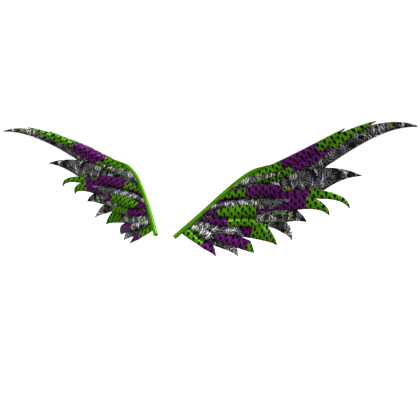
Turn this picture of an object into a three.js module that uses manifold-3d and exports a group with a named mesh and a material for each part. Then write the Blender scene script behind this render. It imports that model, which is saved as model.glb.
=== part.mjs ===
// Crow wings: a pair of costume wings made of printed plastic feathers bonded to two bent spars.
// Millimetres, +Z up. The wearer faces -Y, and the origin lies midway between the two spar roots.
// The left wing, at +X, is modelled, and the right wing is its mirror image.
import * as THREE from "three";
import { mergeVertices } from "three/addons/utils/BufferGeometryUtils.js";
import Module from "manifold-3d";

const wasm = await Module();
wasm.setup();

// Spar: a bent round rod, straight up to the wrist, that tapers out along the first feather.
const SPAR_DIAMETER = 14;
const SPAR_END_DIAMETER = 4;
const SPAR_TAPER_START = 0.84;
const SPAR_SIDES = 12;
const SPAR_STEPS = 18;
const SPAR_TRACK_STEPS = 60;

// Feather blades: moulded plastic, thinned to a stem where it is bonded to the spar.
const BLADE_THICKNESS = 2.4;
const STEM_THICKNESS = 1.4;
const EDGE_THICKNESS = 1.2;
const TIP_WIDTH = 1.4;
const CAMBER_PER_WIDTH = 0.22;
const STEPS_TO_SHOULDER = 7;
const STEPS_TO_TIP = 4;
const POINTS_ACROSS = 5;
const CURL_POWER = 6;
const LEAVE_REACH = 0.35;
const ARRIVE_REACH = 0.22;

// Layers: feathers lie one over another, close together at the spar and further apart away from it.
const LAYER_GAP_AT_SPAR = 2;
const LAYER_GAP_AWAY = 9;
const LAYER_AT_SPAR = 2.5;
const LAYER_ON_SHEET = 1.5;
const SPREAD_DISTANCE = 70;
const LAYER_CLEARANCE = 0.9;
const SPAR_CLEARANCE = 0.3;
const MERGE_DISTANCE = 1e-4;

// The wing's leading edge: the spar's centre line up to its end, then the upper edge of the first feathers.
const EDGE_COLUMNS = ["x", "y", "z"];
const LEADING_EDGE = rows(EDGE_COLUMNS, [
  [31, 0, 0],
  [95, 64.5, 66],
  [160, 119, 134],
  [200, 142, 170],
  [237, 150, 194],
  [275, 147, 210],
  [312, 144, 225],
  [360, 128, 250],
  [409, 105, 276],
  [470, 64, 310],
  [530, 18, 324],
  [600, -27, 311],
]);
const SPAR_ROWS = 6;

// Below its leading edge the wing hangs at a lean that turns from back to front along the span.
const LEAN_AT_CENTRE = 42;
const LEAN_PER_MM = -0.117;
const HALVINGS = 24;
const SLOPE_STEP = 1;

// Each feather, in the front view: spar is where its base sits, in mm up the spar, and tipX and tipZ place
// its tip; leave and arrive are the directions of its midrib at the spar and at the end, in degrees from +X;
// stem is its width at the spar, and width is its full width, kept from the fraction full of its length to
// the fraction shoulder; side is where the tip lies across that width, from -1 at the lower edge to 1 at the
// upper; hook and round are under 1 where the lower and the upper edge run hollow to the tip and over 1 where
// they run full; layer counts from back to front; and curl brings the tip forward, in mm.
const FEATHER_COLUMNS = [
  "name", "spar", "tipX", "tipZ", "leave", "arrive", "stem", "width", "full", "shoulder", "side", "hook",
  "round", "layer", "curl", "print",
];
const FEATHERS = rows(FEATHER_COLUMNS, [
  ["primary_1", 262, 470, 311, 17, 26, 26, 26, 0.4, 0.76, 1, 0.85, 1.25, 3.2, 0, "green"],
  ["primary_2", 250, 530, 324, 13, 14, 14, 46, 0.25, 0.56, 0.86, 0.85, 1.25, 2, 0, "green"],
  ["primary_3", 222, 600, 311, -4, -17, 13, 73, 0.38, 0.47, 0, 0.85, 1.1, -0.1, 10, "tangle"],
  ["primary_4", 195, 520, 198, 7, -21, 17, 62, 0.5, 0.74, 0.8, 0.85, 1.25, 1, 4, "tangle"],
  ["secondary_1", 160, 504, 106, 1.5, -63, 18, 24, 0.5, 0.72, 0.1, 0.75, 2.6, 2, -11, "purple"],
  ["secondary_2", 128, 455, 80, 0.5, -63, 14, 45, 0.5, 0.64, -0.05, 0.85, 1.9, 3, -13, "purple"],
  ["secondary_3", 108, 397, 56, -11, -25, 18, 50, 0.5, 0.76, -0.3, 0.85, 1.25, 2, 8, "tangle"],
  ["secondary_4", 95, 361, -2, 0, -55, 12, 34, 0.5, 0.82, -0.4, 0.85, 1, 0, 34, "tangle"],
  ["secondary_5", 80, 318, -26, -18, -20, 16, 50, 0.5, 0.74, -1, 0.85, 1.1, 1, 14, "green"],
  ["secondary_6", 66, 250, -59, -20, -30, 9, 32, 0.5, 0.8, -1, 0.85, 1.3, 2, -22, "purple"],
  ["secondary_7", 55, 208, -61, -37, -27, 11, 35, 0.5, 0.8, -1, 0.85, 1, 0, 15, "tangle"],
  ["secondary_8", 43, 152, -53, -44, -48, 30, 24, 0.45, 0.62, -0.4, 0.85, 1.25, 1, 6, "green"],
  ["covert_1", 238, 320, 194, 27, 8, 12, 21, 0.3, 0.42, 1, 1, 1.25, 4.5, 0, "tangle"],
  ["covert_2", 178, 348, 147, 19, -2, 8, 29, 0.48, 0.72, 0, 0.85, 1.25, 5, 7, "purple"],
  ["covert_3", 140, 349, 120, 10, 5, 9, 28, 0.45, 0.74, 1, 0.85, 1.25, 4, 12, "tangle"],
  ["covert_4", 114, 281, 80, 3, -8, 5, 32, 0.56, 0.78, 0, 0.85, 1.25, 5, 18, "green"],
  ["covert_5", 90, 270, 33, -7, -10, 5, 29, 0.5, 0.74, -0.8, 0.85, 1.25, 4, 0, "green"],
  ["covert_6", 72, 221, 0, -16, -12, 9, 26, 0.5, 0.8, -1, 0.85, 1.25, 3, 0, "tangle"],
  ["covert_7", 58, 146, 4, -20, -25, 9, 20, 0.5, 0.76, 0, 0.85, 1.25, 4, 0, "tangle"],
]);

// Finishes: the spar's plastic, and the main colour of each print.
const FINISH = {
  spar: { color: 0x4f9112, roughness: 0.35, metalness: 0 },
  green: { color: 0x508f14, roughness: 0.45, metalness: 0 },
  purple: { color: 0x5a1e5f, roughness: 0.45, metalness: 0 },
  tangle: { color: 0x3c4038, roughness: 0.5, metalness: 0 },
};

// Gives each row of a table the names of its columns.
function rows(columns, table) {
  return table.map((row) => Object.fromEntries(columns.map((column, i) => [column, row[i]])));
}

const edgePoints = LEADING_EDGE.map((row) => new THREE.Vector3(row.x, row.y, row.z));
const edgeCurve = new THREE.CatmullRomCurve3(edgePoints);
const sparCurve = new THREE.CatmullRomCurve3(edgePoints.slice(0, SPAR_ROWS));
const sparLength = sparCurve.getLength();
const sparTrack = sparCurve.getSpacedPoints(SPAR_TRACK_STEPS);

// The point of the leading edge above a given x, found by halving the range of the curve's parameter.
function leadingEdgeAt(x) {
  let low = 0;
  let high = 1;
  for (let i = 0; i < HALVINGS; i++) {
    const middle = (low + high) / 2;
    if (edgeCurve.getPoint(middle).x < x) low = middle;
    else high = middle;
  }
  return edgeCurve.getPoint((low + high) / 2);
}

// The depth y of the wing's sheet at a place in the front view.
function sheetDepth(x, z) {
  const top = leadingEdgeAt(x);
  const lean = THREE.MathUtils.degToRad(LEAN_AT_CENTRE + LEAN_PER_MM * x);
  return top.y - (top.z - z) * Math.tan(lean);
}

// How much further apart two sheets a distance apart lie along Y, where the sheet slopes.
function steepness(x, z) {
  const slopeX = (sheetDepth(x + SLOPE_STEP, z) - sheetDepth(x - SLOPE_STEP, z)) / (2 * SLOPE_STEP);
  const slopeZ = (sheetDepth(x, z + SLOPE_STEP) - sheetDepth(x, z - SLOPE_STEP)) / (2 * SLOPE_STEP);
  return Math.hypot(1, slopeX, slopeZ);
}

// How far a place in the front view is from the spar: 0 on it and 1 beyond the spread distance.
function spread(x, z) {
  const away = Math.min(...sparTrack.map((point) => Math.hypot(point.x - x, point.z - z)));
  return THREE.MathUtils.smoothstep(away, 0, SPREAD_DISTANCE);
}

// The full width of a feather at a fraction of its length, before its tip is cut to a point.
function widthAt(feather, t) {
  return THREE.MathUtils.lerp(feather.stem, feather.width, THREE.MathUtils.smoothstep(t, 0, feather.full));
}

// The two edges of a feather at a fraction of its length, from -1 to 1 across its full width.
function edgesAt(feather, t) {
  const share = Math.max(0, t - feather.shoulder) / (1 - feather.shoulder);
  const half = TIP_WIDTH / feather.width;
  const side = THREE.MathUtils.clamp(feather.side, half - 1, 1 - half);
  return {
    lower: THREE.MathUtils.lerp(-1, side - half, share ** feather.hook),
    upper: THREE.MathUtils.lerp(1, side + half, share ** feather.round),
  };
}

// The midrib of a feather in the front view.
function midribOf(feather) {
  const start = sparCurve.getPointAt(feather.spar / sparLength);
  const base = new THREE.Vector2(start.x, start.z);
  const tip = new THREE.Vector2(feather.tipX, feather.tipZ);
  const length = base.distanceTo(tip);
  const heading = (degrees) => {
    const angle = THREE.MathUtils.degToRad(degrees);
    return new THREE.Vector2(Math.cos(angle), Math.sin(angle));
  };
  const toUpper = heading(feather.arrive + 90);
  const end = toUpper.multiplyScalar((-feather.side * feather.width) / 2).add(tip);
  const afterBase = heading(feather.leave).multiplyScalar(length * LEAVE_REACH).add(base);
  const beforeEnd = heading(feather.arrive).multiplyScalar(-length * ARRIVE_REACH).add(end);
  return new THREE.CubicBezierCurve(base, afterBase, beforeEnd, end);
}

// One closed ring around a feather: up its back from the lower edge to the upper, and down its front.
function featherRing(feather, midrib, t) {
  const centre = midrib.getPoint(t);
  const along = midrib.getTangent(t);
  const across = new THREE.Vector2(-along.y, along.x);
  const width = widthAt(feather, t);
  const edges = edgesAt(feather, t);
  const front = [];
  const back = [];
  for (let i = 0; i < POINTS_ACROSS; i++) {
    const v = THREE.MathUtils.lerp(edges.lower, edges.upper, i / (POINTS_ACROSS - 1));
    const place = across.clone().multiplyScalar((v * width) / 2).add(centre);
    const away = spread(place.x, place.y);
    const layerGap = THREE.MathUtils.lerp(LAYER_GAP_AT_SPAR, LAYER_GAP_AWAY, away);
    const middleLayer = THREE.MathUtils.lerp(LAYER_AT_SPAR, LAYER_ON_SHEET, away);
    const thickness = THREE.MathUtils.lerp(STEM_THICKNESS, BLADE_THICKNESS, away);
    const room = Math.max(0, layerGap - thickness - LAYER_CLEARANCE);
    const camber = Math.min(CAMBER_PER_WIDTH * width, room);
    const level = feather.layer - middleLayer - 0.5;
    const lift = level * layerGap + camber * (1 - v * v) + feather.curl * t ** CURL_POWER;
    const atEdge = i === 0 || i === POINTS_ACROSS - 1;
    const skin = atEdge ? Math.min(EDGE_THICKNESS, thickness) : thickness;
    const depth = sheetDepth(place.x, place.y);
    const stretch = steepness(place.x, place.y);
    back.push(new THREE.Vector3(place.x, depth - lift * stretch, place.y));
    front.unshift(new THREE.Vector3(place.x, depth - (lift + skin) * stretch, place.y));
  }
  return [...back, ...front];
}

// Closes a row of rings into one solid, with a flat end on the first and the last.
function loft(rings) {
  const count = rings[0].length;
  const points = rings.flat();
  const faces = [];
  for (let r = 0; r + 1 < rings.length; r++) {
    for (let i = 0; i < count; i++) {
      const a = r * count + i;
      const b = r * count + ((i + 1) % count);
      faces.push(a, b, b + count, a, b + count, a + count);
    }
  }
  const last = (rings.length - 1) * count;
  const half = count / 2;
  for (let i = 0; i + 1 < half; i++) {
    const j = count - 1 - i;
    faces.push(i, j, j - 1, i, j - 1, i + 1);
    faces.push(last + i, last + j - 1, last + j, last + i, last + i + 1, last + j - 1);
  }
  const geometry = new THREE.BufferGeometry().setFromPoints(points);
  geometry.setIndex(faces);
  return geometry;
}

// The spar, or the room it needs when grown by a clearance.
function sparGeometry(grow) {
  const frames = sparCurve.computeFrenetFrames(SPAR_STEPS);
  const rings = [];
  for (let step = 0; step <= SPAR_STEPS; step++) {
    const t = step / SPAR_STEPS;
    const taper = THREE.MathUtils.smoothstep(t, SPAR_TAPER_START, 1);
    const radius = THREE.MathUtils.lerp(SPAR_DIAMETER, SPAR_END_DIAMETER, taper) / 2 + grow;
    const centre = sparCurve.getPointAt(t);
    if (step === SPAR_STEPS) centre.addScaledVector(frames.tangents[step], grow);
    const ring = [];
    for (let side = 0; side < SPAR_SIDES; side++) {
      const angle = (2 * Math.PI * side) / SPAR_SIDES;
      const point = centre.clone();
      point.addScaledVector(frames.normals[step], radius * Math.cos(angle));
      point.addScaledVector(frames.binormals[step], radius * Math.sin(angle));
      ring.push(point);
    }
    rings.push(ring);
  }
  return loft(rings);
}

// A solid to cut with or to be cut, made from a closed geometry.
function solidOf(geometry) {
  const merged = mergeVertices(geometry, MERGE_DISTANCE);
  const triVerts = new Uint32Array(merged.index.array);
  const vertProperties = new Float32Array(merged.attributes.position.array);
  return new wasm.Manifold(new wasm.Mesh({ numProp: 3, vertProperties, triVerts }));
}

// The geometry of a solid that has been cut.
function geometryOf(solid) {
  const mesh = solid.getMesh();
  const geometry = new THREE.BufferGeometry();
  geometry.setAttribute("position", new THREE.BufferAttribute(mesh.vertProperties, 3));
  geometry.setIndex(new THREE.BufferAttribute(mesh.triVerts, 1));
  return geometry;
}

// A feather blade whose stem starts inside the spar and is cut back to just clear of it.
function featherGeometry(feather, sparRoom) {
  const midrib = midribOf(feather);
  const stations = [];
  for (let i = 0; i <= STEPS_TO_SHOULDER; i++) {
    stations.push((feather.shoulder * i) / STEPS_TO_SHOULDER);
  }
  for (let i = 1; i <= STEPS_TO_TIP; i++) {
    stations.push(THREE.MathUtils.lerp(feather.shoulder, 1, i / STEPS_TO_TIP));
  }
  const blade = loft(stations.map((t) => featherRing(feather, midrib, t)));
  const bodies = solidOf(blade).subtract(sparRoom).decompose();
  const largest = bodies.reduce((a, b) => (a.volume() > b.volume() ? a : b));
  return geometryOf(largest);
}

// A named piece in the colour of its finish.
function namedMesh(name, geometry, finish) {
  const mesh = new THREE.Mesh(geometry, new THREE.MeshStandardMaterial(FINISH[finish]));
  mesh.name = name;
  return mesh;
}

// One wing, with its side's name in front of each piece.
function makeWing(side) {
  const wing = new THREE.Group();
  wing.add(namedMesh(`${side}_spar`, sparGeometry(0), "spar"));
  const sparRoom = solidOf(sparGeometry(SPAR_CLEARANCE));
  for (const feather of FEATHERS) {
    wing.add(namedMesh(`${side}_${feather.name}`, featherGeometry(feather, sparRoom), feather.print));
  }
  return wing;
}

const wings = new THREE.Group();
wings.name = "crow_wings";
const leftWing = makeWing("left");
const rightWing = makeWing("right");
rightWing.scale.x = -1;
wings.add(leftWing, rightWing);

export default wings;
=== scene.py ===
import math

import bpy
import numpy as np
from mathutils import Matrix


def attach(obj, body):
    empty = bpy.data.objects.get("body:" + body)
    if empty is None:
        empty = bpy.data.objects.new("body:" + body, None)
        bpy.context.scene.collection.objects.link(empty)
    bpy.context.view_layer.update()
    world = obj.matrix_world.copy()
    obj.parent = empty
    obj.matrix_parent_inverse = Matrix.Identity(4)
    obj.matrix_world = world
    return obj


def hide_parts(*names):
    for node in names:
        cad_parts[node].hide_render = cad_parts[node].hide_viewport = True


# Crow wings: printed plastic feathers on two bent spars. Lengths are in millimetres until a mesh is made.
# The left wing, at +X, is worked out, and the right wing is its mirror image.

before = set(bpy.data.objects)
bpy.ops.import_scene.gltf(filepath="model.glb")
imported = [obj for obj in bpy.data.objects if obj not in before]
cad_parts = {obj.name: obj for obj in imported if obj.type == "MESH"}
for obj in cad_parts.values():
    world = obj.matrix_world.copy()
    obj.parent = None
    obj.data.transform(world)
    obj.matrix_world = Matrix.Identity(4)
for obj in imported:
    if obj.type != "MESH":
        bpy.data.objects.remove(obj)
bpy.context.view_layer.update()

MM = 0.001
FULL_TURN = 2 * math.pi

# Camera, in metres and degrees, with the photograph's angle and field of view
CAMERA_PLACE = (0.43995, -0.75401, 0.28742)
CAMERA_AZIMUTH = 21.291
CAMERA_ELEVATION = 13.399
CAMERA_FIELD = 70.0

# Light: a soft key from the right, the front and above, a rim light from above and behind, an even surround
# that shows weaker in reflections, and a white backdrop
KEY_FROM = (0.46, -0.5, 0.73)
KEY_STRENGTH = 1.5
RIM_FROM = (0.24, 0.4, 0.88)
RIM_STRENGTH = 2.8
LAMP_SOFTNESS = 12.0
SURROUND_STRENGTH = 0.7
BACKDROP_STRENGTH = 1.05
MIRRORED_STRENGTH = 0.3
WHITE = (1.0, 1.0, 1.0)

# Floor, in metres
FLOOR_HEIGHT = -2.0
FLOOR_SIZE = 60.0
FLOOR_TONES = ((0.9, 0.9, 0.9), (0.94, 0.94, 0.94))
FLOOR_CLOUD_SIZE = 2.5
FLOOR_ROUGHNESS = 0.9

# Spar
SPAR_DIAMETER = 14.0
SPAR_END_DIAMETER = 4.0
SPAR_TAPER_START = 0.84
SPAR_SIDES = 32
SPAR_STEPS = 110
SPAR_CHAMFER = 0.9

# Feather blades
BLADE_THICKNESS = 2.4
STEM_THICKNESS = 1.4
EDGE_THICKNESS = 1.2
TIP_WIDTH = 1.4
CAMBER_PER_WIDTH = 0.22
CURL_POWER = 6
LEAVE_REACH = 0.35
ARRIVE_REACH = 0.22
STEPS_ALONG = 64
POINTS_ACROSS = 17

# Stems: how deep they sink into the spar's outline, over which share of the feather its rows swing from the
# spar's slant to its own, and where along the feather the spar's surface is looked for
STEM_EMBED = 0.6
STEM_FADE = 0.2
STEM_SEARCH = 0.3
STEM_SEARCH_STEPS = 240

# An even row of points gives way to a band's end that is closer than this share of the step between rows.
ROW_GIVES_WAY = 0.3

# Layers of feathers, close together at the spar and further apart away from it
LAYER_GAP_AT_SPAR = 2.0
LAYER_GAP_AWAY = 9.0
LAYER_AT_SPAR = 2.5
LAYER_ON_SHEET = 1.5
LAYER_MIDDLE = 0.5
SPREAD_DISTANCE = 70.0
LAYER_CLEARANCE = 0.9

# The sheet that the feathers lie on hangs from the leading edge at a lean that changes along the span.
LEAN_AT_CENTRE = 42.0
LEAN_PER_MM = -0.117
SLOPE_STEP = 1.0

# The leading edge from root to tip, of which the spar follows the first rows. Both lines are worked out at
# many places, and a search for the nearest place on the spar takes one in each step of its track. The knot
# power suits a curve through unevenly spaced rows.
LEADING_EDGE = np.array([
    (31, 0, 0),
    (95, 64.5, 66),
    (160, 119, 134),
    (200, 142, 170),
    (237, 150, 194),
    (275, 147, 210),
    (312, 144, 225),
    (360, 128, 250),
    (409, 105, 276),
    (470, 64, 310),
    (530, 18, 324),
    (600, -27, 311),
], float)
SPAR_ROWS = 6
EDGE_PLACES = 4000
SPAR_PLACES = 2000
TRACK_STEP = 10
KNOT_POWER = 0.5

# Each feather in the front view, as in the part's own table: where its base sits up the spar, where its tip
# is, the headings of its midrib at both ends, its widths, where the full width starts and ends, where the
# tip lies across it, how full the lower and the upper edge run to it, its layer and its curl.
FEATHER_COLUMNS = (
    "name", "spar", "tip_x", "tip_z", "leave", "arrive", "stem", "width", "full", "shoulder", "side", "hook",
    "round", "layer", "curl",
)
FEATHERS = [dict(zip(FEATHER_COLUMNS, row)) for row in (
    ("primary_1", 262, 470, 311, 17, 26, 26, 26, 0.4, 0.76, 1, 0.85, 1.25, 3.2, 0),
    ("primary_2", 250, 530, 324, 13, 14, 14, 46, 0.25, 0.56, 0.86, 0.85, 1.25, 2, 0),
    ("primary_3", 222, 600, 311, -4, -17, 13, 73, 0.38, 0.47, 0, 0.85, 1.1, -0.1, 10),
    ("primary_4", 195, 520, 198, 7, -21, 17, 62, 0.5, 0.74, 0.8, 0.85, 1.25, 1, 4),
    ("secondary_1", 160, 504, 106, 1.5, -63, 18, 24, 0.5, 0.72, 0.1, 0.75, 2.6, 2, -11),
    ("secondary_2", 128, 455, 80, 0.5, -63, 14, 45, 0.5, 0.64, -0.05, 0.85, 1.9, 3, -13),
    ("secondary_3", 108, 397, 56, -11, -25, 18, 50, 0.5, 0.76, -0.3, 0.85, 1.25, 2, 8),
    ("secondary_4", 95, 361, -2, 0, -55, 12, 34, 0.5, 0.82, -0.4, 0.85, 1, 0, 34),
    ("secondary_5", 80, 318, -26, -18, -20, 16, 50, 0.5, 0.74, -1, 0.85, 1.1, 1, 14),
    ("secondary_6", 66, 250, -59, -20, -30, 9, 32, 0.5, 0.8, -1, 0.85, 1.3, 2, -22),
    ("secondary_7", 55, 208, -61, -37, -27, 11, 35, 0.5, 0.8, -1, 0.85, 1, 0, 15),
    ("secondary_8", 43, 152, -53, -44, -48, 30, 24, 0.45, 0.62, -0.4, 0.85, 1.25, 1, 6),
    ("covert_1", 238, 320, 194, 27, 8, 12, 21, 0.3, 0.42, 1, 1, 1.25, 4.5, 0),
    ("covert_2", 178, 348, 147, 19, -2, 8, 29, 0.48, 0.72, 0, 0.85, 1.25, 5, 7),
    ("covert_3", 140, 349, 120, 10, 5, 9, 28, 0.45, 0.74, 1, 0.85, 1.25, 4, 12),
    ("covert_4", 114, 281, 80, 3, -8, 5, 32, 0.56, 0.78, 0, 0.85, 1.25, 5, 18),
    ("covert_5", 90, 270, 33, -7, -10, 5, 29, 0.5, 0.74, -0.8, 0.85, 1.25, 4, 0),
    ("covert_6", 72, 221, 0, -16, -12, 9, 26, 0.5, 0.8, -1, 0.85, 1.25, 3, 0),
    ("covert_7", 58, 146, 4, -20, -25, 9, 20, 0.5, 0.76, 0, 0.85, 1.25, 4, 0),
)]

# The prints along each feather: each band and the fraction of the midrib where it ends.
BANDS = {
    "primary_1": (("green", 0.392), ("purple", 0.717), ("green", 1)),
    "primary_2": (("purple", 0.14), ("green", 0.409), ("purple", 0.688), ("green", 1)),
    "secondary_1": (("purple", 0.21), ("green", 0.349), ("purple", 0.617), ("green", 1)),
    "secondary_2": (("purple", 0.714), ("green", 1)),
    "secondary_5": (("green", 0.446), ("purple", 0.607), ("green", 1)),
    "secondary_6": (("green", 0.33), ("purple", 0.815), ("green", 1)),
    "secondary_8": (("green", 0.5), ("purple", 1)),
    "covert_2": (("green", 0.358), ("purple", 0.88), ("green", 1)),
    "covert_4": (("purple", 0.233), ("green", 0.832), ("purple", 0.964), ("green", 1)),
    "covert_5": (("purple", 0.466), ("green", 1)),
}
ALL_TANGLE = (("tangle", 1),)

# Painted light and shade: how bright each feather's ground is drawn, from 0, deep, to 1, bright
PAINTED_SHADING = {
    "primary_1": 0.52, "primary_2": 1, "secondary_1": 0.68, "secondary_2": 0.5, "secondary_5": 0.36,
    "secondary_6": 0.74, "secondary_8": 0.92, "covert_2": 0.2, "covert_4": 0.16, "covert_5": 0.38,
}
USUAL_PAINTED_SHADING = 0.4

# Colours, linear. The deep green and purple are painted shade and deeper patches, and the spar's clouds
GREEN = (0.108, 0.375, 0.002)
GREEN_DEEP_AND_SHADED = (0.055, 0.188, 0.001)
PURPLE = (0.155, 0.0145, 0.174)
PURPLE_DEEP_AND_SHADED = (0.078, 0.007, 0.087)
SPOT_BLACK = (0.002, 0.002, 0.0022)
TANGLE_BLACK = (0.009, 0.009, 0.009)
TANGLE_GREY = (0.2, 0.2, 0.2)
TANGLE_WHITE = (0.75, 0.75, 0.76)
TANGLE_OLIVE = (0.15, 0.33, 0.035)

# Prints: each feather takes its own stretch of an endless print, which drifts a little along and across. A
# shift takes a second look at the same noise somewhere else.
PRINT_MAP = "print"
PRINT_OFFSET = 460.0
DRIFT_DETAIL = 1.0

# Spots, in two rows half a pitch apart, on a ground with lighter and deeper patches and painted shading
SPOT_PITCH = 21.5
ROW_PITCH = 10.4
SPOT_HALF_LENGTH = 6.6
SPOT_HALF_WIDTH = 3.4
SPOT_TAPER = 0.4
SPOT_EDGE = (1.15, 0.85)
UPPER_SLANT = -0.1
LOWER_SLANT = -0.35
SPOT_DRIFT = 5.0
SPOT_DRIFT_SIZE = 16.0
SPOT_DRIFT_SHIFT = (300.0, 90.0)
PATCH_SIZE = 30.0
PATCH_DETAIL = 3.0
PATCH_CHANGE = 0.6

# Tangle: bowed hatch lines, tufts of strokes and thorns, each in random cells of its own. An edge is the
# range over which a stroke fades in, and a chance the range over which a cell gets its mark.
TANGLE_DRIFT = 8.0
TANGLE_DRIFT_SIZE = 12.0
TANGLE_DRIFT_SHIFT = (500.0, -200.0)
HATCH_CELL = 14.0
HATCH_PITCH = 6.8
HATCH_BOW = 0.04
HATCH_EDGE = (0.35, 0.65)
HATCH_CHANCE = (0.0, 0.7)
TUFT_CELL = 11.0
TUFT_PITCH = 6.6
TUFT_SWING = 2.2
TUFT_SQUASH = 0.6
TUFT_BOW = 0.08
TUFT_POINT = 0.05
TUFT_EDGE = (0.42, 0.58)
TUFT_CHANCE = (0.64, 0.68)
TUFT_SHIFT = (150.0, 40.0)
THORN_CELL = 24.0
THORN_LENGTH = 9.0
THORN_SLOPE = 0.28
THORN_EDGE = (-0.3, 0.3)
THORN_CHANCE = (0.72, 0.73)
THORN_SHIFT = (320.0, 90.0)

# Plastic surface: a faint pearl, fine grain, and smears that change the gloss
GLOSS = 0.05
PEARL = 0.28
SPOT_ROUGHNESS = 0.24
TANGLE_ROUGHNESS = 0.33
SMEAR_SIZE = 22.0
SMEAR_ROUGHNESS = 0.1
GRAIN_SIZE = 0.9
GRAIN_ROUGHNESS = 0.04
GRAIN_RELIEF = 0.06

# Crown: low relief that rounds a feather, as a share of its width, strongest on the stem
# The crown map also carries each feather's painted light and shade.
CROWN_MAP = "crown"
CROWN_ON_STEM = 0.32
CROWN_ON_BLADE = 0.1
CROWN_FADE = 0.5

# Spar surface: streaks drawn out along the rod, and clouds of colour
SPAR_ROUGHNESS = 0.3
STREAK_SIZE = 1.6
STREAK_SQUASH = 0.05
STREAK_COLOUR = 0.3
STREAK_ROUGHNESS = 0.12
STREAK_RELIEF = 0.05
CLOUD_SIZE = 40.0
CLOUD_EDGE = (0.3, 0.7)
CLOUD_COLOUR = 0.4


class Shade:
    """A socket of a material's nodes. Sums, products and the like of shades add the Math nodes for them."""

    def __init__(self, tree, socket=None):
        self.tree = tree
        self.socket = socket

    def node(self, kind, settings, inputs, output=0):
        """Adds a node: its settings first, then the values or links of its sockets."""
        made = self.tree.nodes.new(kind)
        for name, value in settings.items():
            setattr(made, name, value)
        for name, value in inputs.items():
            if isinstance(value, Shade):
                self.tree.links.new(value.socket, made.inputs[name])
            else:
                made.inputs[name].default_value = value
        return Shade(self.tree, made.outputs[output])

    def maths(self, operation, *values):
        return self.node("ShaderNodeMath", {"operation": operation}, dict(enumerate(values)))

    def __add__(self, other):
        return self.maths("ADD", self, other)

    __radd__ = __add__

    def __mul__(self, other):
        return self.maths("MULTIPLY", self, other)

    __rmul__ = __mul__

    def __sub__(self, other):
        return self.maths("SUBTRACT", self, other)

    def __rsub__(self, other):
        return self.maths("SUBTRACT", other, self)

    def __truediv__(self, other):
        return self.maths("DIVIDE", self, other)

    def __rtruediv__(self, other):
        return self.maths("DIVIDE", other, self)

    def __abs__(self):
        return self.maths("ABSOLUTE", self)

    def fraction(self):
        return self.maths("FRACT", self)

    def larger(self, other):
        return self.maths("MAXIMUM", self, other)

    def ramp(self, low, high):
        """0 below low and 1 above high, or the other way round, with a smooth step between."""
        settings = {"interpolation_type": "SMOOTHSTEP"}
        return self.node("ShaderNodeMapRange", settings, {0: self, 1: low, 2: high})

    def blend(self, first, second):
        """The first colour where this shade is 0 and the second where it is 1."""
        colours = {0: self, 6: opaque(first), 7: opaque(second)}
        return self.node("ShaderNodeMix", {"data_type": "RGBA"}, colours, 2)

    def place(self, x, y):
        """A point of a pattern from its two coordinates."""
        return self.node("ShaderNodeCombineXYZ", {}, {0: x, 1: y})

    def twin(self, output):
        """Another output of the node that this shade comes from."""
        return Shade(self.tree, self.socket.node.outputs[output])

    def axes(self):
        """The three numbers of a place or a colour."""
        first = self.node("ShaderNodeSeparateXYZ", {}, {0: self})
        return first, first.twin(1), first.twin(2)

    def noise(self, size, detail=2.0):
        """Soft noise over the pattern's points, with lumps of a given size."""
        inputs = {"Vector": self, "Scale": 1 / size, "Detail": detail}
        return self.node("ShaderNodeTexNoise", {"noise_dimensions": "2D"}, inputs, "Fac")

    def cells(self, size, swing):
        """Random cells of a given size: the place in each cell, turned within a swing, and its chance."""
        inputs = {"Vector": self, "Scale": 1 / size}
        cell = self.node("ShaderNodeTexVoronoi", {"voronoi_dimensions": "2D"}, inputs, "Color")
        turn, chance, _ = cell.axes()
        ends = {0: self, 1: cell.twin("Position")}
        offset = self.node("ShaderNodeVectorMath", {"operation": "SUBTRACT"}, ends)
        inputs = {"Vector": offset, "Angle": (turn - 0.5) * swing}
        u, w, _ = self.node("ShaderNodeVectorRotate", {"rotation_type": "Z_AXIS"}, inputs).axes()
        return u, w, chance


def opaque(colour):
    return colour if isinstance(colour, Shade) else (*colour, 1.0)


def new_material(name):
    """A plain material, and a shade to build its nodes from."""
    material = bpy.data.materials.new(name)
    material.use_nodes = True
    return material, Shade(material.node_tree)


def finish_surface(material, colour, roughness, relief):
    """Sends the colour, the roughness and the relief, in millimetres, to the material's own shader."""
    tree = material.node_tree
    shader = tree.nodes["Principled BSDF"]
    tree.links.new(colour.socket, shader.inputs["Base Color"])
    tree.links.new(roughness.socket, shader.inputs["Roughness"])
    bump = colour.node("ShaderNodeBump", {}, {"Height": relief, "Distance": MM})
    tree.links.new(bump.socket, shader.inputs["Normal"])
    shader.inputs["Specular IOR Level"].default_value = GLOSS
    shader.inputs["Metallic"].default_value = PEARL


def finish_feather(material, point, colour, roughness, crown):
    """Finishes a feather's surface, with smears and grain round a usual roughness and grain on its crown."""
    grain = point.noise(GRAIN_SIZE)
    roughness = roughness + point.noise(SMEAR_SIZE) * SMEAR_ROUGHNESS + grain * GRAIN_ROUGHNESS
    finish_surface(material, colour, roughness, crown + grain * GRAIN_RELIEF)


def print_axes(shade):
    """The place on the print in millimetres, along the piece and across it."""
    along, across, _ = shade.node("ShaderNodeUVMap", {"uv_map": PRINT_MAP}, {}).axes()
    return along / MM, across / MM


def crown_axes(shade):
    """The height of the feather's crown in millimetres, and the painted light and shade of the feather."""
    crown, painted_shading, _ = shade.node("ShaderNodeUVMap", {"uv_map": CROWN_MAP}, {}).axes()
    return crown / MM, painted_shading


def shifted(shade, along, across, shift):
    """The point of a pattern that lies a shift away."""
    return shade.place(along + shift[0], across + shift[1])


def drift(shade, along, across, size, reach, shift):
    """How far a print strays along and across, each within about half the reach either way."""
    stray_along = shade.place(along, across).noise(size, DRIFT_DETAIL) - 0.5
    stray_across = shifted(shade, along, across, shift).noise(size, DRIFT_DETAIL) - 0.5
    return stray_along * reach, stray_across * reach


def stripes(place, pitch):
    """A wave that runs from 0 midway between two lines to 1 on each."""
    return abs((place / pitch).fraction() * 2 - 1)


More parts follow.
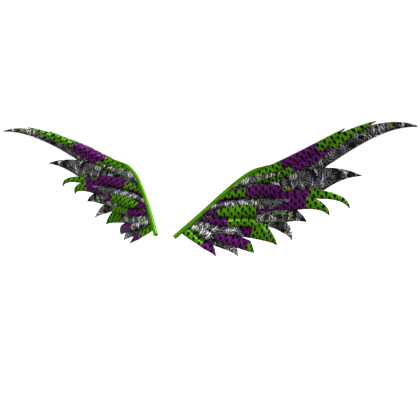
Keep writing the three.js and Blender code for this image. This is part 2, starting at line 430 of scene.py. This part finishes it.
def spot_rows(along, across, start, row, slant):
    """Drop-shaped spots on a lattice: 1 inside a spot and 0 outside it."""
    x = ((along - start) / SPOT_PITCH).fraction() * SPOT_PITCH - SPOT_PITCH / 2
    y = ((across - row) / (2 * ROW_PITCH) + 0.5).fraction() * (2 * ROW_PITCH) - ROW_PITCH
    half_width = SPOT_HALF_WIDTH + y * (SPOT_TAPER * SPOT_HALF_WIDTH / SPOT_HALF_LENGTH)
    wide = (x - y * slant) / half_width
    tall = y / SPOT_HALF_LENGTH
    return (wide * wide + tall * tall).ramp(*SPOT_EDGE)


def spot_print(name, ground, ground_deep_and_shaded):
    """A glossy printed ground with staggered rows of black spots, and painted light and shade on each
    feather.
    """
    material, shade = new_material(name)
    along, across = print_axes(shade)
    point = shade.place(along, across)
    bend, sway = drift(shade, along, across, SPOT_DRIFT_SIZE, SPOT_DRIFT, SPOT_DRIFT_SHIFT)
    upper = spot_rows(along + bend, across + sway, 0, ROW_PITCH / 2, UPPER_SLANT)
    lower = spot_rows(along + bend, across + sway, SPOT_PITCH / 2, -ROW_PITCH / 2, LOWER_SLANT)
    crown, painted_shading = crown_axes(shade)
    # Painted light and shade: the ground goes from deep to bright by the feather's shading level, with
    # random patches on top.
    shading_and_patches = painted_shading + (point.noise(PATCH_SIZE, PATCH_DETAIL) - 0.5) * PATCH_CHANGE
    colour = upper.larger(lower).blend(shading_and_patches.blend(ground_deep_and_shaded, ground), SPOT_BLACK)
    finish_feather(material, point, colour, SPOT_ROUGHNESS, crown)
    return material


def tangle_print(name):
    """Tufts of pale curved strokes over a dark hatch of short lines, with a few olive thorns."""
    material, shade = new_material(name)
    along, across = print_axes(shade)
    point = shade.place(along, across)
    bend, sway = drift(shade, along, across, TANGLE_DRIFT_SIZE, TANGLE_DRIFT, TANGLE_DRIFT_SHIFT)
    bent = along + bend
    swayed = across + sway
    u, w, chance = shade.place(bent, swayed).cells(HATCH_CELL, FULL_TURN)
    hatch = stripes(u + w * w * HATCH_BOW, HATCH_PITCH).ramp(*HATCH_EDGE) * chance.ramp(*HATCH_CHANCE)
    colour = hatch.blend(TANGLE_BLACK, TANGLE_GREY)
    u, w, chance = shifted(shade, bent, swayed * TUFT_SQUASH, TUFT_SHIFT).cells(TUFT_CELL, TUFT_SWING)
    strokes = stripes(u + w * w * TUFT_BOW, TUFT_PITCH) - abs(w) * TUFT_POINT
    tuft = strokes.ramp(*TUFT_EDGE) * chance.ramp(*TUFT_CHANCE)
    colour = tuft.blend(colour, TANGLE_WHITE)
    u, w, chance = shifted(shade, along, across, THORN_SHIFT).cells(THORN_CELL, FULL_TURN)
    flanks = ((THORN_LENGTH - u) * THORN_SLOPE - abs(w)).ramp(*THORN_EDGE)
    thorn = flanks * (u + THORN_LENGTH).ramp(*THORN_EDGE) * chance.ramp(*THORN_CHANCE)
    colour = thorn.blend(colour, TANGLE_OLIVE)
    crown, _ = crown_axes(shade)
    finish_feather(material, point, colour, TANGLE_ROUGHNESS, crown)
    return material


def spar_plastic(name):
    """Smooth green plastic with a faint drawn grain along the rod."""
    material, shade = new_material(name)
    along, across = print_axes(shade)
    streaks = shade.place(along * STREAK_SQUASH, across).noise(STREAK_SIZE)
    clouds = shade.place(along, across).noise(CLOUD_SIZE).ramp(*CLOUD_EDGE)
    colour = (clouds * CLOUD_COLOUR + streaks * STREAK_COLOUR).blend(GREEN_DEEP_AND_SHADED, GREEN)
    finish_surface(material, colour, SPAR_ROUGHNESS + streaks * STREAK_ROUGHNESS, streaks * STREAK_RELIEF)
    return material


def floor_white(name):
    """A plain pale floor with faint clouds."""
    material, shade = new_material(name)
    point = shade.node("ShaderNodeTexCoord", {}, {}, "Object")
    clouds = shade.node("ShaderNodeTexNoise", {}, {"Vector": point, "Scale": 1 / FLOOR_CLOUD_SIZE}, "Fac")
    shader = material.node_tree.nodes["Principled BSDF"]
    material.node_tree.links.new(clouds.blend(*FLOOR_TONES).socket, shader.inputs["Base Color"])
    shader.inputs["Roughness"].default_value = FLOOR_ROUGHNESS
    return material


def smoothstep(x, low, high):
    share = np.clip((x - low) / (high - low), 0, 1)
    return share * share * (3 - 2 * share)


def between(first, second, share):
    return first + (second - first) * share


def unit(vectors):
    return vectors / np.linalg.norm(vectors, axis=-1, keepdims=True)


def heading(degrees):
    return np.array([math.cos(math.radians(degrees)), math.sin(math.radians(degrees))])


def distances(points):
    """How far along a row of points each one lies."""
    return np.r_[0, np.cumsum(np.linalg.norm(np.diff(points, axis=0), axis=1))]


def smooth_curve(points, count):
    """A row of places on the smooth curve through some points, with equally many on each stretch."""
    padded = np.vstack([2 * points[0] - points[1], points, 2 * points[-1] - points[-2]])
    places = np.linspace(0, len(points) - 1, count)
    stretch = np.minimum(places.astype(int), len(points) - 2)
    w = (places - stretch)[:, None]
    p0, p1, p2, p3 = (padded[stretch + k] for k in range(4))
    steps = (p1 - p0, p2 - p1, p3 - p2)
    d0, d1, d2 = (np.linalg.norm(step, axis=1)[:, None] ** KNOT_POWER for step in steps)
    leave = ((p1 - p0) / d0 - (p2 - p0) / (d0 + d1) + (p2 - p1) / d1) * d1
    arrive = ((p2 - p1) / d1 - (p3 - p1) / (d1 + d2) + (p3 - p2) / d2) * d1
    bend = 3 * (p2 - p1) - 2 * leave - arrive
    twist = 2 * (p1 - p2) + leave + arrive
    return p1 + leave * w + bend * w ** 2 + twist * w ** 3


edge_line = smooth_curve(LEADING_EDGE, EDGE_PLACES)
spar_line = smooth_curve(LEADING_EDGE[:SPAR_ROWS], SPAR_PLACES)
spar_reach = distances(spar_line)
spar_track = spar_line[::TRACK_STEP]
track_shares = (spar_reach / spar_reach[-1])[::TRACK_STEP]


def spar_places(reach):
    """Places on the spar's line at distances from its root."""
    return np.stack([np.interp(reach, spar_reach, spar_line[:, k]) for k in range(3)], -1)


def spar_radius(share):
    """The spar's radius at a share of its length."""
    taper = smoothstep(share, SPAR_TAPER_START, 1)
    return between(SPAR_DIAMETER, SPAR_END_DIAMETER, taper) / 2


def sheet_depth(x, z):
    """The depth y of the wing's sheet at places in the front view."""
    top_y = np.interp(x, edge_line[:, 0], edge_line[:, 1])
    top_z = np.interp(x, edge_line[:, 0], edge_line[:, 2])
    return top_y - (top_z - z) * np.tan(np.radians(LEAN_AT_CENTRE + LEAN_PER_MM * x))


def steepness(x, z):
    """How much further apart two sheets a distance apart lie along Y, where the sheet slopes."""
    slope_x = (sheet_depth(x + SLOPE_STEP, z) - sheet_depth(x - SLOPE_STEP, z)) / (2 * SLOPE_STEP)
    slope_z = (sheet_depth(x, z + SLOPE_STEP) - sheet_depth(x, z - SLOPE_STEP)) / (2 * SLOPE_STEP)
    return np.sqrt(1 + slope_x ** 2 + slope_z ** 2)


def spread(x, z):
    """How far places in the front view are from the spar: 0 on it and 1 beyond the spread distance."""
    away = np.hypot(x[..., None] - spar_track[:, 0], z[..., None] - spar_track[:, 2]).min(-1)
    return smoothstep(away, 0, SPREAD_DISTANCE)


def width_at(feather, t):
    return between(feather["stem"], feather["width"], smoothstep(t, 0, feather["full"]))


def edges_at(feather, t):
    """The lower and upper edge of a feather, as fractions of its half width."""
    share = np.maximum(0, t - feather["shoulder"]) / (1 - feather["shoulder"])
    half = TIP_WIDTH / feather["width"]
    side = np.clip(feather["side"], half - 1, 1 - half)
    lower = between(-1, side - half, share ** feather["hook"])
    upper = between(1, side + half, share ** feather["round"])
    return lower, upper


def front_view(feather, t, v):
    """Places of a feather in the front view, at fractions t of its length and v of its half width, and the
    way across it there."""
    base = spar_places(feather["spar"])[[0, 2]]
    tip = np.array([feather["tip_x"], feather["tip_z"]], float)
    length = np.linalg.norm(tip - base)
    end = tip - heading(feather["arrive"] + 90) * feather["side"] * feather["width"] / 2
    after_base = base + heading(feather["leave"]) * length * LEAVE_REACH
    before_end = end - heading(feather["arrive"]) * length * ARRIVE_REACH
    half_width = width_at(feather, t) / 2
    t = t[..., None]
    k = 1 - t
    centre = k ** 3 * base + 3 * k * k * t * after_base + 3 * k * t * t * before_end + t ** 3 * end
    run = k * k * (after_base - base) + 2 * k * t * (before_end - after_base) + t * t * (end - before_end)
    run = unit(run)
    across = np.stack([-run[..., 1], run[..., 0]], -1)
    return centre + across * (v * half_width)[..., None], across


def blade_points(feather, t, v, fullness):
    """Back and front points of a feather, whose skin is thinnest where fullness is 0, at its rim, and the
    way across it in the front view."""
    place, across = front_view(feather, t, v)
    x, z = place[..., 0], place[..., 1]
    away = spread(x, z)
    gap = between(LAYER_GAP_AT_SPAR, LAYER_GAP_AWAY, away)
    middle = between(LAYER_AT_SPAR, LAYER_ON_SHEET, away)
    thickness = between(STEM_THICKNESS, BLADE_THICKNESS, away)
    room = np.maximum(0, gap - thickness - LAYER_CLEARANCE)
    camber = np.minimum(CAMBER_PER_WIDTH * width_at(feather, t), room)
    level = feather["layer"] - middle - LAYER_MIDDLE
    lift = level * gap + camber * (1 - v * v) + feather["curl"] * t ** CURL_POWER
    skin = between(np.minimum(EDGE_THICKNESS, thickness), thickness, np.sqrt(fullness))
    depth = sheet_depth(x, z)
    stretch = steepness(x, z)
    back = np.stack([x, depth - lift * stretch, z], -1)
    front = np.stack([x, depth - (lift + skin) * stretch, z], -1)
    return back, front, across


def stem_starts(feather, share):
    """Where lines along a feather, at shares of its width, leave the spar, as fractions of its length."""
    t = np.linspace(0, STEM_SEARCH, STEM_SEARCH_STEPS)[:, None] + np.zeros_like(share)
    lower, upper = edges_at(feather, t)
    v = between(lower, upper, share)
    back, front, _ = blade_points(feather, t, v, np.ones_like(t))
    middle = (back + front) / 2
    away = np.linalg.norm(middle[:, :, None, :] - spar_track, axis=-1)
    radius = spar_radius(track_shares[away.argmin(-1)])
    inside = away.min(-1) < radius - STEM_EMBED
    last = np.where(inside.any(0), len(t) - 1 - inside[::-1].argmax(0), 0)
    return t[last, 0]


def feather_stations(bands):
    """Fractions of the length at which a feather has a row of points, with one on each band's end."""
    even = np.linspace(0, 1, STEPS_ALONG)
    ends = [end for _, end in bands]
    kept = [s for s in even if min(abs(s - end) for end in ends) > ROW_GIVES_WAY / STEPS_ALONG]
    return np.array(sorted(kept + ends))


def feather_grid(feather, stations):
    """Fractions along and across a feather for each of its points, and how full the blade is there."""
    share = (1 - np.cos(np.linspace(0, np.pi, POINTS_ACROSS))) / 2
    fade = np.clip(1 - stations / STEM_FADE, 0, 1) ** 2
    t = stations[:, None] + stem_starts(feather, share)[None, :] * fade[:, None]
    lower, upper = edges_at(feather, t)
    v = between(lower, upper, share)
    fullness = 4 * share * (1 - share) + np.zeros_like(t)
    return t, v, fullness


def blade_rings(feather, t, v, fullness):
    """Rings of points round a feather, by its back, upper rim, front and lower rim, and its midrib."""
    back, front, across = blade_points(feather, t, v, fullness)
    outward = np.stack([across[..., 0], np.zeros_like(t), across[..., 1]], -1)
    middle = (back + front) / 2
    rim = EDGE_THICKNESS / 2
    upper_rim = middle[:, -1:] + outward[:, -1:] * rim
    lower_rim = middle[:, :1] - outward[:, :1] * rim
    rings = np.concatenate([back, upper_rim, front[:, ::-1], lower_rim], 1)
    return rings, middle[:, POINTS_ACROSS // 2]


def around(values):
    """Values across a feather, carried round its rings."""
    return np.concatenate([values, values[:, -1:], values[:, ::-1], values[:, :1]], 1)


def feather_maps(feather, number, t, v, fullness, midrib):
    """The print's place in metres, and the crown's height in metres beside the feather's painted light and
    shade.
    """
    width = width_at(feather, t)
    along = distances(midrib)[:, None] + np.zeros_like(v) + number * PRINT_OFFSET
    print_across = v * width / 2
    crown_share = between(CROWN_ON_STEM, CROWN_ON_BLADE, smoothstep(t, 0, CROWN_FADE))
    crown = fullness * width * crown_share
    # Painted light and shade, the same all over each feather
    painted_shading = np.full_like(v, PAINTED_SHADING.get(feather["name"], USUAL_PAINTED_SHADING))
    return {
        PRINT_MAP: np.stack([around(along) * MM, around(print_across) * MM], -1),
        CROWN_MAP: np.stack([around(crown) * MM, around(painted_shading)], -1),
    }


def loft_faces(rows, count):
    """Quads between closed rings of points."""
    faces = []
    for r in range(rows - 1):
        for i in range(count):
            a = r * count + i
            b = r * count + (i + 1) % count
            faces.append((a, b, b + count, a + count))
    return faces


def strip_cap(start, count):
    """Faces that close a flat ring whose two halves run side by side."""
    half = count // 2
    faces = []
    for i in range(half - 2):
        j = count - 2 - i
        faces.append((start + i, start + j, start + j - 1, start + i + 1))
    faces.append((start + half - 2, start + half, start + half - 1))
    faces.append((start, start + count - 1, start + count - 2))
    return faces


def feather_faces(rows, count, row_prints):
    """Faces of a closed blade, and the number of each one's print, from the numbers of the rows' prints."""
    base_cap = [face[::-1] for face in strip_cap(0, count)]
    tip_cap = strip_cap((rows - 1) * count, count)
    faces = loft_faces(rows, count) + base_cap + tip_cap
    prints = [row_print for row_print in row_prints for _ in range(count)]
    prints += [row_prints[0]] * len(base_cap) + [row_prints[-1]] * len(tip_cap)
    return faces, prints


def make_piece(name, rings, faces, maps, materials, face_materials, mirrored):
    """One object from rings of points in millimetres, mirrored for the right wing, with its maps."""
    sign = -1 if mirrored else 1
    places = rings.reshape(-1, 3) * MM * np.array([sign, 1, 1])
    if mirrored:
        faces = [face[::-1] for face in faces]
    mesh = bpy.data.meshes.new(name)
    mesh.from_pydata(places.tolist(), [], faces)
    corners = np.zeros(len(mesh.loops), np.int32)
    mesh.loops.foreach_get("vertex_index", corners)
    for map_name, values in maps.items():
        layer = mesh.uv_layers.new(name=map_name)
        layer.data.foreach_set("uv", values.reshape(-1, 2)[corners].astype(np.float32).ravel())
    for material in materials:
        mesh.materials.append(material)
    mesh.polygons.foreach_set("material_index", np.array(face_materials, np.int32))
    mesh.polygons.foreach_set("use_smooth", np.ones(len(mesh.polygons), bool))
    mesh.update()
    piece = bpy.data.objects.new(name, mesh)
    bpy.context.scene.collection.objects.link(piece)
    return piece


def place_piece(piece, node):
    """Lets a piece stand for its node: hangs it on the root body and hides the node's own part."""
    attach(piece, "root")
    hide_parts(node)


def make_feather(side, feather, number, finishes):
    """A feather blade with a rounded rim, whose stem ends against the spar and whose prints are bands."""
    bands = BANDS.get(feather["name"], ALL_TANGLE)
    stations = feather_stations(bands)
    t, v, fullness = feather_grid(feather, stations)
    rings, midrib = blade_rings(feather, t, v, fullness)
    maps = feather_maps(feather, number, t, v, fullness, midrib)
    worn = sorted({band for band, _ in bands})
    ends = [end for _, end in bands]
    row_bands = np.searchsorted(ends, (stations[:-1] + stations[1:]) / 2)
    row_prints = [worn.index(bands[k][0]) for k in row_bands]
    faces, face_prints = feather_faces(*rings.shape[:2], row_prints)
    materials = [finishes[band] for band in worn]
    node = f"{side}_{feather['name']}"
    piece = make_piece(f"{node}_blade", rings, faces, maps, materials, face_prints, side == "right")
    place_piece(piece, node)


def make_spar(side, finish):
    """The bent rod, with a chamfered root and a closed thin end."""
    shares = np.linspace(0, 1, SPAR_STEPS)
    centre = spar_places(shares * spar_reach[-1])
    run = unit(np.gradient(centre, axis=0))
    first = unit(np.cross(run, (0, 1, 0)))
    second = np.cross(run, first)
    radius = spar_radius(shares)
    centre = np.vstack([centre[:1], centre[:1] + run[:1] * SPAR_CHAMFER, centre[1:]])
    first = np.vstack([first[:1], first])
    second = np.vstack([second[:1], second])
    radius = np.r_[radius[0] - SPAR_CHAMFER, radius]
    angles = np.arange(SPAR_SIDES) * FULL_TURN / SPAR_SIDES
    outward = first[:, None] * np.cos(angles)[:, None] + second[:, None] * np.sin(angles)[:, None]
    rings = centre[:, None] + outward * radius[:, None, None]
    rows = len(centre)
    last = (rows - 1) * SPAR_SIDES
    faces = loft_faces(rows, SPAR_SIDES)
    faces.append(tuple(range(SPAR_SIDES))[::-1])
    faces.append(tuple(range(last, last + SPAR_SIDES)))
    along = distances(centre)[:, None] + np.zeros(SPAR_SIDES)
    girth = np.abs(angles - math.pi) * SPAR_DIAMETER / 2 + np.zeros((rows, 1))
    maps = {PRINT_MAP: np.stack([along, girth], -1) * MM}
    node = f"{side}_spar"
    piece = make_piece(f"{node}_rod", rings, faces, maps, [finish], [0] * len(faces), side == "right")
    place_piece(piece, node)


def make_floor():
    """The floor, which is seen but throws no light on the wings."""
    half = FLOOR_SIZE / 2
    corners = [(x, y, FLOOR_HEIGHT) for x, y in ((-half, -half), (half, -half), (half, half), (-half, half))]
    mesh = bpy.data.meshes.new("floor")
    mesh.from_pydata(corners, [], [(0, 1, 2, 3)])
    mesh.materials.append(floor_white("floor white"))
    floor = bpy.data.objects.new("floor", mesh)
    bpy.context.scene.collection.objects.link(floor)
    floor.visible_diffuse = False
    floor.visible_glossy = False


def make_surround():
    """Even white light all round, weaker in reflections, and the backdrop that the camera sees."""
    world = bpy.data.worlds.new("studio")
    bpy.context.scene.world = world
    world.use_nodes = True
    seen = Shade(world.node_tree).node("ShaderNodeLightPath", {}, {}, "Is Camera Ray")
    mirrored = seen.twin("Is Glossy Ray")
    strength = SURROUND_STRENGTH + seen * (BACKDROP_STRENGTH - SURROUND_STRENGTH)
    strength = strength - mirrored * (SURROUND_STRENGTH - MIRRORED_STRENGTH)
    background = world.node_tree.nodes["Background"]
    background.inputs["Color"].default_value = opaque(WHITE)
    world.node_tree.links.new(strength.socket, background.inputs["Strength"])


def make_lamp(name, origin, strength):
    """A soft lamp far away, which shines from a direction."""
    light = bpy.data.lights.new(name, "SUN")
    light.energy = strength
    light.angle = math.radians(LAMP_SOFTNESS)
    lamp = bpy.data.objects.new(name, light)
    x, y, z = origin
    lamp.rotation_euler = (math.atan2(math.hypot(x, y), z), 0, math.atan2(x, -y))
    bpy.context.scene.collection.objects.link(lamp)


def make_camera():
    """The camera, which shows colours as they are, with no film look."""
    camera = bpy.data.cameras.new("photo")
    camera.lens = camera.sensor_width / 2 / math.tan(math.radians(CAMERA_FIELD / 2))
    holder = bpy.data.objects.new("photo", camera)
    holder.location = CAMERA_PLACE
    holder.rotation_euler = (math.radians(90 - CAMERA_ELEVATION), 0, math.radians(CAMERA_AZIMUTH))
    bpy.context.scene.collection.objects.link(holder)
    bpy.context.scene.camera = holder
    bpy.context.scene.view_settings.view_transform = "Standard"


make_camera()
make_floor()
make_surround()
make_lamp("key", KEY_FROM, KEY_STRENGTH)
make_lamp("rim", RIM_FROM, RIM_STRENGTH)
finishes = {
    "green": spot_print("green spot print", GREEN, GREEN_DEEP_AND_SHADED),
    "purple": spot_print("purple spot print", PURPLE, PURPLE_DEEP_AND_SHADED),
    "tangle": tangle_print("tangle print"),
    "spar": spar_plastic("spar plastic"),
}
for side in ("left", "right"):
    make_spar(side, finishes["spar"])
    for number, feather in enumerate(FEATHERS):
        make_feather(side, feather, number, finishes)
